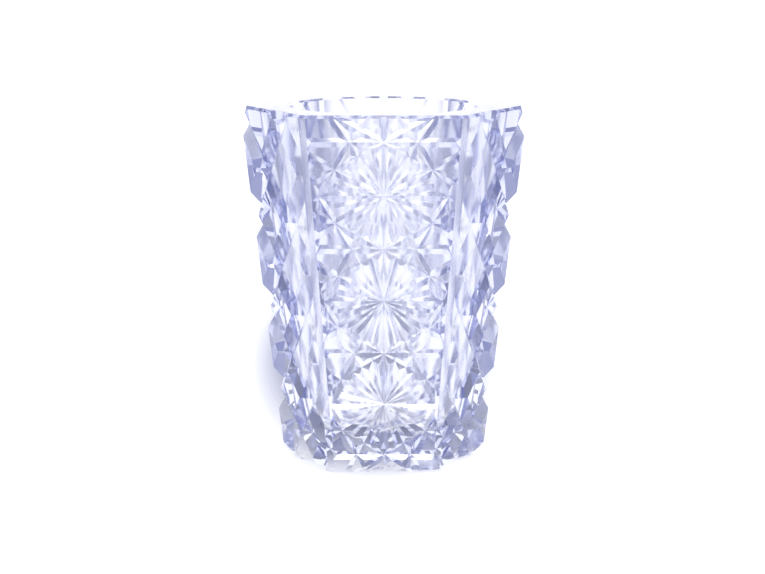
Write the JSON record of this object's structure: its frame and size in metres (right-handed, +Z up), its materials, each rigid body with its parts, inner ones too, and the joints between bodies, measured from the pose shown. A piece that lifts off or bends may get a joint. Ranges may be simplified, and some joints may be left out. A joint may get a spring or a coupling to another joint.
{
  "type": "cut crystal vase",
  "caption": "Heavy tapering cut-glass vase with a round hollow, star-cut front and back and diamond-cut sides; stands on a flat base.",
  "frame": {"origin": "middle of the flat underside", "axes": "+Z up the vase; the star-cut panels face -Y and +Y; the sharp side corners point to -X and +X"},
  "size_m": [0.095, 0.0766, 0.12],
  "materials": {
    "crystal": "clear lead crystal, moulded bore with a soft bloom, wheel-cut and polished outside"
  },
  "bodies": {
    "root": {"vase_body": "crystal"}
  },
  "joints": []
}
